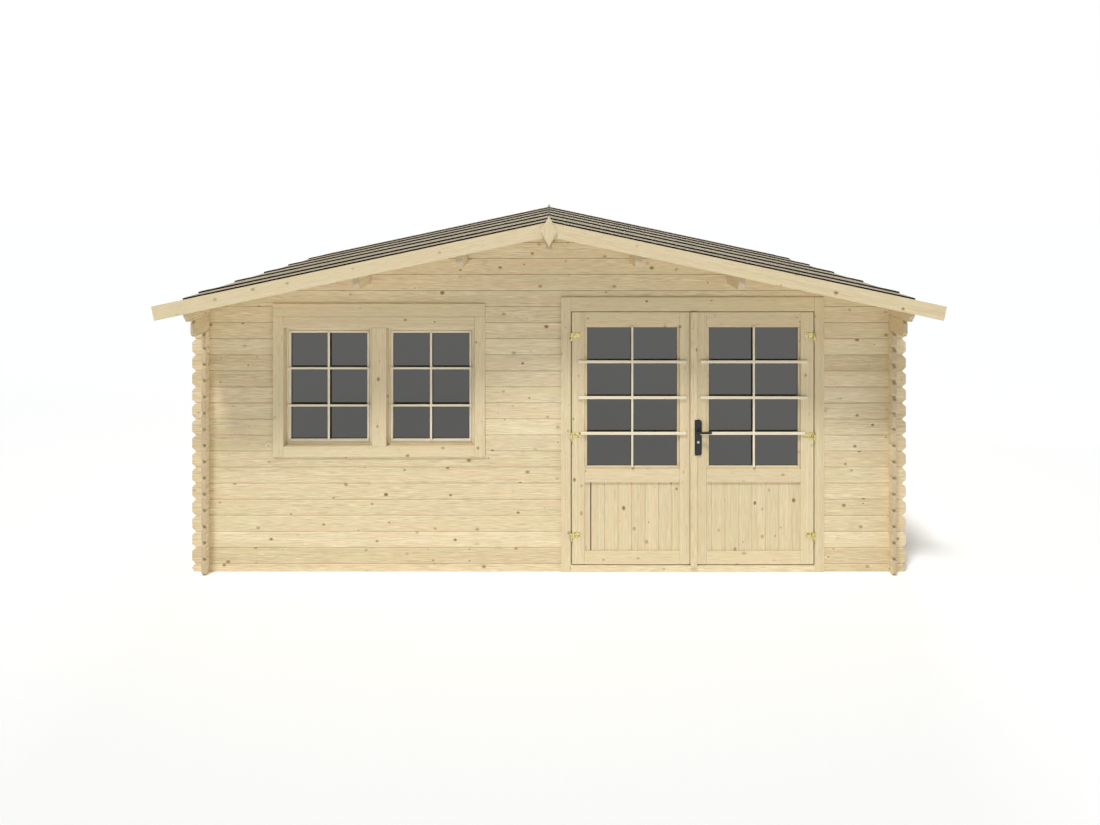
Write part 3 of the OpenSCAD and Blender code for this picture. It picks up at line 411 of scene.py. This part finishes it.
# planed boards: the softened edge, the seed of their numbers, and how square to the grain a cut end faces
planed = {"edge": 0.0015, "seed": 5, "cutFacing": 0.9}
chooser = random.Random(planed["seed"])
grainOrder = {"x": (0, 2, 1), "y": (1, 2, 0), "z": (2, 0, 1)}


def startBoards():
    mesh = bmesh.new()
    return mesh, {
        "timber": mesh.verts.layers.float_vector.new("timber"),
        "seed": mesh.verts.layers.float.new("seed"),
        "cut": mesh.faces.layers.float.new("cut"),
    }


def softenEdges(mesh, edges, width):
    bmesh.ops.bevel(mesh, geom=edges, offset=width, offset_type="OFFSET", affect="EDGES", segments=2,
                    profile=0.5, material=-1, clamp_overlap=True)


def pushFace(mesh, face, depth):
    # makes a flat face a block, depth thick along Y
    pushed = bmesh.ops.extrude_face_region(mesh, geom=[face])["geom"]
    bmesh.ops.translate(mesh, vec=(0, depth, 0), verts=[g for g in pushed if isinstance(g, bmesh.types.BMVert)])


def markBoard(mesh, marks, oldVerts, grain):
    # gives the new vertices their grain coordinates, measured from the middle of the board
    fresh = [v for v in mesh.verts if v not in oldVerts]
    number = chooser.random()
    middle = sum((v.co for v in fresh), Vector()) / len(fresh)
    along = grainOrder[grain]
    for v in fresh:
        spot = v.co - middle
        v[marks["timber"]] = Vector([spot[i] for i in along])
        v[marks["seed"]] = number
    for face in {f for v in fresh for f in v.link_faces}:
        face.normal_update()
        face[marks["cut"]] = 1.0 if abs(face.normal[along[0]]) > planed["cutFacing"] else 0.0
    return fresh


def addBoard(mesh, marks, low, high, grain, edge=planed["edge"]):
    low, high = Vector(low), Vector(high)
    old = set(mesh.verts)
    verts = bmesh.ops.create_cube(mesh, size=1.0)["verts"]
    bmesh.ops.scale(mesh, vec=high - low, verts=verts)
    bmesh.ops.translate(mesh, vec=(low + high) / 2, verts=verts)
    softenEdges(mesh, list({e for v in verts for e in v.link_edges}), edge)
    markBoard(mesh, marks, old, grain)


def addPrism(mesh, marks, corners, depth, grain, edge):
    old = set(mesh.verts)
    pushFace(mesh, mesh.faces.new([mesh.verts.new(c) for c in corners]), depth)
    fresh = [v for v in mesh.verts if v not in old]
    bmesh.ops.recalc_face_normals(mesh, faces=list({f for v in fresh for f in v.link_faces}))
    softenEdges(mesh, list({e for v in fresh for e in v.link_edges}), edge)
    return markBoard(mesh, marks, old, grain)


def finishPiece(name, mesh, material, body, replaced=()):
    data = bpy.data.meshes.new(name)
    mesh.to_mesh(data)
    mesh.free()
    data.materials.append(material)
    piece = bpy.data.objects.new(name, data)
    scene.collection.objects.link(piece)
    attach(piece, body)
    if replaced:
        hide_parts(*replaced)


# door leaves: stiles, rails, glazing beads, bars and panel boards
leafParts = {"joint": 0.0004, "glassLap": 0.0083, "panelLap": 0.0087,
             "bead": 0.017, "beadIn": 0.009, "beadEdge": 0.004, "beadEndEdge": 0.003, "backIn": 0.001,
             "barHeights": (1.493, 1.239, 0.986), "barHeight": 0.020, "barDepth": 0.014, "barEnd": 0.046,
             "barEdge": 0.003, "strapGap": 0.002, "postWidth": 0.0145, "postIn": 0.011, "postSunk": 0.001,
             "firstBoard": {"left": 0.040, "right": 0.037}, "board": 0.0953, "boardEdge": 0.004,
             "leastBoard": 0.001, "gap": 0.007, "tongueBack": 0.0105, "tongueReach": 0.014}
p = leafParts
for side in ("left", "right"):
    body = side + "_leaf"
    low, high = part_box(side + "_leaf_frame")
    gLow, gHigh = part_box(side + "_leaf_glass")
    pLow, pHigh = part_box(side + "_leaf_panel")
    xs = (gLow.x - p["glassLap"], gHigh.x + p["glassLap"])
    topZ, midZ = gHigh.z + p["glassLap"], gLow.z - p["glassLap"]
    midLow, lowZ = pHigh.z - p["panelLap"], pLow.z + p["panelLap"]
    j, b = p["joint"], p["bead"]
    mesh, marks = startBoards()
    addBoard(mesh, marks, low, (xs[0] - j, high.y, high.z), "z")
    addBoard(mesh, marks, (xs[1] + j, low.y, low.z), high, "z")
    for z0, z1 in ((topZ, high.z), (midLow, midZ), (low.z, lowZ)):
        addBoard(mesh, marks, (xs[0], low.y, z0), (xs[1], high.y, z1), "x")
    for y0, y1 in ((low.y + p["beadIn"], gLow.y - j), (gHigh.y + j, high.y - p["backIn"])):
        for x0, x1 in ((xs[0], xs[0] + b), (xs[1] - b, xs[1])):
            addBoard(mesh, marks, (x0, y0, midZ + b), (x1, y1, topZ - b), "z", p["beadEdge"])
        for z0, z1 in ((midZ, midZ + b), (topZ - b, topZ)):
            addBoard(mesh, marks, (xs[0], y0, z0), (xs[1], y1, z1), "x", p["beadEndEdge"])
    finishPiece(side + "_leaf_joinery", mesh, spruceBoard, body, [side + "_leaf_frame"])

    mesh, marks = startBoards()
    face = low.y
    middle = (xs[0] + xs[1]) / 2
    strapLow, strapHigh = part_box(side + "_leaf_straps")
    for z in p["barHeights"]:
        x0, x1 = xs[0] - p["barEnd"], xs[1] + p["barEnd"]
        if z == min(p["barHeights"]):
            # the lowest bar stops short of the middle hinge strap
            if side == "left":
                x0 = max(x0, strapHigh.x + p["strapGap"])
            else:
                x1 = min(x1, strapLow.x - p["strapGap"])
        addBoard(mesh, marks, (x0, face - p["barDepth"], z - p["barHeight"] / 2),
                 (x1, face, z + p["barHeight"] / 2), "x", p["barEdge"])
    addBoard(mesh, marks,
             (middle - p["postWidth"] / 2, face - p["barDepth"] + p["postSunk"], midZ + p["postIn"]),
             (middle + p["postWidth"] / 2, face + p["postSunk"], topZ - p["postIn"]), "z", p["barEdge"])
    finishPiece(side + "_leaf_bars", mesh, spruceClear, body)

    mesh, marks = startBoards()
    x = pLow.x
    width = p["panelLap"] + p["firstBoard"][side]
    while x < pHigh.x - p["leastBoard"]:
        end = min(x + width, pHigh.x)
        addBoard(mesh, marks, (x, pLow.y, pLow.z), (end, pHigh.y, pHigh.z), "z", p["boardEdge"])
        if side == "left" and x == pLow.x:
            # the board beside the hinge stile stands off the next one, and a tongue closes the joint
            joint, end = end, end + p["gap"]
        x, width = end, p["board"]
    finishPiece(side + "_leaf_boards", mesh, spruceBoard, body, [side + "_leaf_panel"])
    if side == "left":
        # the tongue is painted dark brown, as painted shade deep in the open joint
        mesh, marks = startBoards()
        addBoard(mesh, marks, (joint - p["gap"], pLow.y + p["tongueBack"], pLow.z + j),
                 (joint + p["tongueReach"], pHigh.y - j, pHigh.z - j), "z")
        finishPiece("left_leaf_tongue", mesh, spruceJointShade, "left_leaf")

# lip on the edge of the right leaf, which closes most of the joint between the leaves
lip = {"slit": 0.0025, "inset": 0.001, "backInset": 0.004, "sunk": 0.0005, "edge": 0.0005}
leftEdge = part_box("left_leaf_frame")[1].x
low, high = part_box("right_leaf_frame")
mesh, marks = startBoards()
addBoard(mesh, marks, (leftEdge + lip["slit"], low.y + lip["inset"], low.z + lip["inset"]),
         (low.x + lip["sunk"], high.y - lip["backInset"], high.z - lip["inset"]), "z", lip["edge"])
finishPiece("meeting_lip", mesh, spruceBoard, "right_leaf")

# screws of the hinge straps, with a sunk drive
screws = {"radius": 0.0042, "sides": 20, "head": 0.0012, "bevel": 0.0006, "drive": 0.002, "sunk": 0.0007,
          "fromEnd": (0.012, 0.040), "strap": 0.0033}


def addScrew(mesh, spot):
    # a round head that faces the front
    s = screws
    old = set(mesh.verts)
    made = bmesh.ops.create_cone(mesh, cap_ends=True, segments=s["sides"], radius1=s["radius"],
                                 radius2=s["radius"], depth=2 * s["head"])["verts"]
    cap = max({f for v in made for f in v.link_faces}, key=lambda f: f.calc_center_median().z)
    softenEdges(mesh, list(cap.edges), s["bevel"])
    fresh = [v for v in mesh.verts if v not in old]
    cap = max({f for v in fresh for f in v.link_faces}, key=lambda f: f.calc_center_median().z)
    bmesh.ops.inset_region(mesh, faces=[cap], thickness=s["radius"] - s["bevel"] - s["drive"])
    bmesh.ops.translate(mesh, vec=(0, 0, -s["sunk"]), verts=cap.verts)
    fresh = [v for v in mesh.verts if v not in old]
    bmesh.ops.rotate(mesh, cent=(0, 0, 0), matrix=Matrix.Rotation(math.radians(90), 3, "X"), verts=fresh)
    bmesh.ops.translate(mesh, vec=spot, verts=fresh)


for side in ("left", "right"):
    low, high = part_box(side + "_leaf_straps")
    tip, inward = (high.x, -1) if side == "left" else (low.x, 1)
    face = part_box(side + "_leaf_frame")[0].y - screws["strap"]
    # the straps' lower and upper edges, to the millimetre
    levels = sorted({round(v.co.z, 3) for v in nodes[side + "_leaf_straps"].data.vertices})
    mesh = bmesh.new()
    for bottom, top in zip(levels[0::2], levels[1::2]):
        for away in screws["fromEnd"]:
            addScrew(mesh, (tip + inward * away, face, (bottom + top) / 2))
    finishPiece(side + "_strap_screws", mesh, yellowZinc, side + "_leaf")
print("door leaves ready")

# casings: the door's legs run past its head board, the window's head board lies on its legs
casing = {"doorLeg": 0.068, "doorHead": 0.101, "windowLeg": 0.073, "windowHead": 0.094, "joint": 0.0004,
          "edge": 0.002}
leg, j = casing["doorLeg"], casing["joint"]
low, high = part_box("door_casing")
mesh, marks = startBoards()
headZ = high.z - casing["doorHead"]
addBoard(mesh, marks, low, (low.x + leg, high.y, high.z), "z", casing["edge"])
addBoard(mesh, marks, (high.x - leg, low.y, low.z), high, "z", casing["edge"])
addBoard(mesh, marks, (low.x + leg + j, low.y, headZ), (high.x - leg - j, high.y, high.z), "x", casing["edge"])
finishPiece("door_casing_boards", mesh, spruceBoard, "house", ["door_casing"])
leg = casing["windowLeg"]
cLow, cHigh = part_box("window_casing")
mesh, marks = startBoards()
headZ = cHigh.z - casing["windowHead"]
addBoard(mesh, marks, cLow, (cLow.x + leg, cHigh.y, headZ - j), "z", casing["edge"])
addBoard(mesh, marks, (cHigh.x - leg, cLow.y, cLow.z), (cHigh.x, cHigh.y, headZ - j), "z", casing["edge"])
addBoard(mesh, marks, (cLow.x, cLow.y, headZ), cHigh, "x", casing["edge"])
finishPiece("window_casing_boards", mesh, spruceBoard, "house", ["window_casing"])

# window frame: foot, head and mullion on the wall, the lining of the opening and its ledges behind them
windowFrame = {"foot": 0.075, "head": 0.078, "mullion": 0.100, "lining": 0.0503, "ledge": 0.010,
               "ledgeBack": 0.050, "joint": 0.0004, "edge": 0.002}
p = windowFrame
fLow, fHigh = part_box("window_frame")
left, right = cLow.x + leg, cHigh.x - leg
footZ, lightTop = cLow.z + p["foot"], headZ - p["head"]
middle = (left + right) / 2
mullion = (middle - p["mullion"] / 2, middle + p["mullion"] / 2)
wallFace = cHigh.y
ledgeFace = fLow.y + p["ledgeBack"]
liningLow = cLow.z + p["lining"]
j, ledge = p["joint"], p["ledge"]
mesh, marks = startBoards()
addBoard(mesh, marks, (left + j, fLow.y, cLow.z), (right - j, wallFace, footZ), "x", p["edge"])
addBoard(mesh, marks, (left + j, fLow.y, lightTop), (right - j, wallFace, headZ - j), "x", p["edge"])
addBoard(mesh, marks, (mullion[0], fLow.y, footZ + j), (mullion[1], wallFace, lightTop - j), "z", p["edge"])
for x0, x1 in ((fLow.x, left), mullion, (right, fHigh.x)):
    addBoard(mesh, marks, (x0, wallFace, liningLow), (x1, fHigh.y, fHigh.z), "z")
for x0, x1 in ((left, mullion[0]), (mullion[1], right)):
    addBoard(mesh, marks, (x0, wallFace, liningLow), (x1, fHigh.y, footZ), "x")
    addBoard(mesh, marks, (x0, wallFace, lightTop), (x1, fHigh.y, fHigh.z), "x")
    for z0, z1 in ((footZ, footZ + ledge), (lightTop - ledge, lightTop)):
        addBoard(mesh, marks, (x0, ledgeFace, z0), (x1, fHigh.y, z1), "x")
    for a, b in ((x0, x0 + ledge), (x1 - ledge, x1)):
        addBoard(mesh, marks, (a, ledgeFace, footZ + ledge + j), (b, fHigh.y, lightTop - ledge - j), "z")
finishPiece("window_frame_boards", mesh, spruceBoard, "house", ["window_frame"])

# sashes: joinery, glazing beads before and behind the pane, and the bars on the outer ones
sashParts = {"joint": 0.0004, "member": 0.031, "bead": 0.015, "beadOut": 0.008, "beadEdge": 0.004,
             "backIn": 0.001, "barHeights": (1.439, 1.174), "barHeight": 0.0155, "barOut": 0.018,
             "barIn": -0.006, "barEnd": 0.011, "barEdge": 0.003, "postWidth": 0.0155, "postSunk": 0.001,
             "postLap": 0.004}
p = sashParts
gLow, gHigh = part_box("window_glass")
j, m = p["joint"], p["member"]
n = m - p["bead"]
for side in ("left", "right"):
    low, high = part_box(side + "_sash")
    mesh, marks = startBoards()
    addBoard(mesh, marks, low, (low.x + n, high.y, high.z), "z")
    addBoard(mesh, marks, (high.x - n, low.y, low.z), high, "z")
    for z0, z1 in ((low.z, low.z + n), (high.z - n, high.z)):
        addBoard(mesh, marks, (low.x + n + j, low.y, z0), (high.x - n - j, high.y, z1), "x")
    finishPiece(side + "_sash_joinery", mesh, spruceClear, "house", [side + "_sash"])

    mesh, marks = startBoards()
    for y0, y1 in ((low.y - p["beadOut"], gLow.y - j), (gHigh.y + j, high.y - p["backIn"])):
        for x0, x1 in ((low.x + n, low.x + m), (high.x - m, high.x - n)):
            addBoard(mesh, marks, (x0, y0, low.z + m), (x1, y1, high.z - m), "z", p["beadEdge"])
        for z0, z1 in ((low.z + n, low.z + m), (high.z - m, high.z - n)):
            addBoard(mesh, marks, (low.x + n, y0, z0), (high.x - n, y1, z1), "x", p["beadEdge"])
    finishPiece(side + "_sash_beads", mesh, spruceClear, "house")

    mesh, marks = startBoards()
    front, back = low.y - p["barOut"], low.y + p["barIn"]
    for z in p["barHeights"]:
        addBoard(mesh, marks, (low.x + p["barEnd"], front, z - p["barHeight"] / 2),
                 (high.x - p["barEnd"], back, z + p["barHeight"] / 2), "x", p["barEdge"])
    centre = (low.x + high.x) / 2
    addBoard(mesh, marks, (centre - p["postWidth"] / 2, front + p["postSunk"], low.z + m - p["postLap"]),
             (centre + p["postWidth"] / 2, back + p["postSunk"], high.z - m + p["postLap"]), "z", p["barEdge"])
    finishPiece(side + "_sash_bars", mesh, spruceClear, "house")
print("window ready")

# roof boards from ridge to eave, sheared to the slope so that their ends stay plumb
roof = {"pitch": math.radians(12), "board": 0.0896, "deck": 0.0184, "groove": 0.0025}
fall = math.tan(roof["pitch"])
for side, sign in (("left", -1), ("right", 1)):
    low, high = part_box(side + "_roof_deck")
    inner = low.x if sign > 0 else high.x
    mesh, marks = startBoards()
    count = round((high.y - low.y) / roof["board"])
    step = (high.y - low.y) / count
    topZ = high.z + abs(inner) * fall
    for i in range(count):
        addBoard(mesh, marks, (low.x, low.y + i * step, topZ - roof["deck"]),
                 (high.x, low.y + (i + 1) * step, topZ), "x", roof["groove"])
    slope = Matrix(((1, 0, 0, 0), (0, 1, 0, 0), (-sign * fall, 0, 1, 0), (0, 0, 0, 1)))
    bmesh.ops.transform(mesh, matrix=slope, verts=mesh.verts)
    finishPiece(side + "_roof_boards", mesh, spruceBoard, "house", [side + "_roof_deck"])

# barge boards, plumb where they meet and square at the tails
barge = {"width": 0.097, "halfGap": 0.0003, "edge": 0.0025}
sine, cosine = math.sin(roof["pitch"]), math.cos(roof["pitch"])
for end in ("front", "back"):
    low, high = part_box(end + "_barge_boards")
    mesh, marks = startBoards()
    ridge, tail, gap = high.z, high.x, barge["halfGap"]
    for sign in (-1, 1):
        outline = [(gap, gap * fall), (tail, tail * fall),
                   (tail - barge["width"] * sine, tail * fall + barge["width"] * cosine),
                   (gap, gap * fall + barge["width"] / cosine)]
        corners = [(sign * x, low.y, ridge - drop) for x, drop in outline]
        fresh = addPrism(mesh, marks, corners, high.y - low.y, "x", barge["edge"])
        # the grain runs down the slope
        turn = Matrix.Rotation(sign * roof["pitch"], 3, "Y").inverted()
        for v in fresh:
            along, across, inside = v[marks["timber"]]
            turned = turn @ Vector((along, inside, across))
            v[marks["timber"]] = Vector((turned.x, turned.z, turned.y))
    finishPiece(end + "_barge_pair", mesh, spruceBoard, "house", [end + "_barge_boards"])

# gable diamonds with a bevelled face
diamond = {"thick": 0.0197, "bevel": 0.010, "bevelDepth": 0.006}
d = diamond
low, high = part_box("gable_diamonds")
mesh, marks = startBoards()
middleZ = (low.z + high.z) / 2
for face, inward in ((low.y, 1), (high.y, -1)):
    old = set(mesh.verts)
    rim = face + inward * d["bevelDepth"]
    corners = [(high.x, rim, middleZ), (0, rim, high.z), (low.x, rim, middleZ), (0, rim, low.z)]
    outline = mesh.faces.new([mesh.verts.new(c) for c in corners])
    pushFace(mesh, outline, inward * (d["thick"] - d["bevelDepth"]))
    bmesh.ops.inset_region(mesh, faces=[outline], thickness=d["bevel"])
    bmesh.ops.translate(mesh, vec=(0, -inward * d["bevelDepth"], 0), verts=outline.verts)
    fresh = [v for v in mesh.verts if v not in old]
    bmesh.ops.recalc_face_normals(mesh, faces=list({f for v in fresh for f in v.link_faces}))
    markBoard(mesh, marks, old, "z")
finishPiece("gable_diamond_pair", mesh, spruceBoard, "house", ["gable_diamonds"])

# floor boards across the joists
flooring = {"board": 0.0889, "groove": 0.002}
low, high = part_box("floor_boards")
mesh, marks = startBoards()
count = round((high.y - low.y) / flooring["board"])
step = (high.y - low.y) / count
for i in range(count):
    addBoard(mesh, marks, (low.x, low.y + i * step, low.z), (high.x, low.y + (i + 1) * step, high.z), "x",
             flooring["groove"])
finishPiece("floor_planks", mesh, spruceBoard, "house", ["floor_boards"])
print("roof and floor ready")

# plain white floor and even surroundings, the sun from the upper left front, and weak lamps round about:
# the front one shines up from below the ground and draws the thin dark lines over casings and bars
# each fill has the direction it comes from and the share of full white that it gives to what faces it
studio = {"floor": "#FCFCFB", "floorHalf": 60, "glow": 0.11, "sky": 0.18, "skyTint": (0.9, 0.96, 1.0, 1.0),
          "white": (1.0, 1.0, 1.0, 1.0), "sun": 2.26, "sunAngle": 10, "sunHeight": 61.3, "sunSide": 24,
          "fillAngle": 20,
          "fills": {"front": ((-0.2, -1, -0.95), 0.14), "left": ((-1, 0.02, 0.15), 0.17),
                    "right": ((1, -0.4, 0.15), 0.17), "back": ((0.1, 1, 0.25), 0.27)}}


def seenRays(tree):
    # camera, mirror and see-through rays, which find the surroundings white
    path = addNode(tree, "ShaderNodeLightPath")
    seen = addNode(tree, "ShaderNodeMath", {0: path.outputs["Is Camera Ray"], 1: path.outputs["Is Glossy Ray"]},
                   operation="MAXIMUM").outputs[0]
    return addNode(tree, "ShaderNodeMath", {0: seen, 1: path.outputs["Is Transmission Ray"]},
                   operation="MAXIMUM").outputs[0]


def addSun(name, towards, energy, angle):
    lamp = bpy.data.lights.new(name, "SUN")
    lamp.energy, lamp.angle = energy, math.radians(angle)
    lampObject = bpy.data.objects.new(name, lamp)
    lampObject.rotation_mode = "QUATERNION"
    lampObject.rotation_quaternion = Vector(towards).to_track_quat("Z", "Y")
    scene.collection.objects.link(lampObject)


mesh = bmesh.new()
bmesh.ops.create_grid(mesh, x_segments=1, y_segments=1, size=studio["floorHalf"])
data = bpy.data.meshes.new("floor")
mesh.to_mesh(data)
mesh.free()
floor = bpy.data.objects.new("floor", data)
scene.collection.objects.link(floor)
floor.visible_shadow = False  # so the low front lamp gets through
floorPaint, tree = newMaterial("floor_paint")
diffuse = addNode(tree, "ShaderNodeBsdfDiffuse", {"Color": toLinear(studio["floor"])})
strength = addNode(tree, "ShaderNodeMapRange", {0: seenRays(tree), 3: 0.0, 4: studio["glow"]}).outputs[0]
glow = addNode(tree, "ShaderNodeEmission", {"Color": studio["white"], "Strength": strength})
both = addNode(tree, "ShaderNodeAddShader", {0: diffuse.outputs[0], 1: glow.outputs[0]})
addNode(tree, "ShaderNodeOutputMaterial", {0: both.outputs[0]})
floor.data.materials.append(floorPaint)

world = bpy.data.worlds.new("surroundings")
scene.world = world
world.use_nodes = True
tree = world.node_tree
tree.nodes.clear()
seen = seenRays(tree)
strength = addNode(tree, "ShaderNodeMapRange", {0: seen, 3: studio["sky"], 4: 1.0}).outputs[0]
tint = addNode(tree, "ShaderNodeMix", {0: seen, 6: studio["skyTint"], 7: studio["white"]}, data_type="RGBA")
sky = addNode(tree, "ShaderNodeBackground", {"Color": tint.outputs[2], "Strength": strength})
addNode(tree, "ShaderNodeOutputWorld", {0: sky.outputs[0]})

height, turn = math.radians(studio["sunHeight"]), math.radians(studio["sunSide"])
addSun("sun", (-math.sin(turn) * math.cos(height), -math.cos(turn) * math.cos(height), math.sin(height)),
       studio["sun"], studio["sunAngle"])
for name, (towards, level) in studio["fills"].items():
    addSun(name + "_fill", towards, level * math.pi, studio["fillAngle"])  # a strength of pi gives full white
print("studio ready")
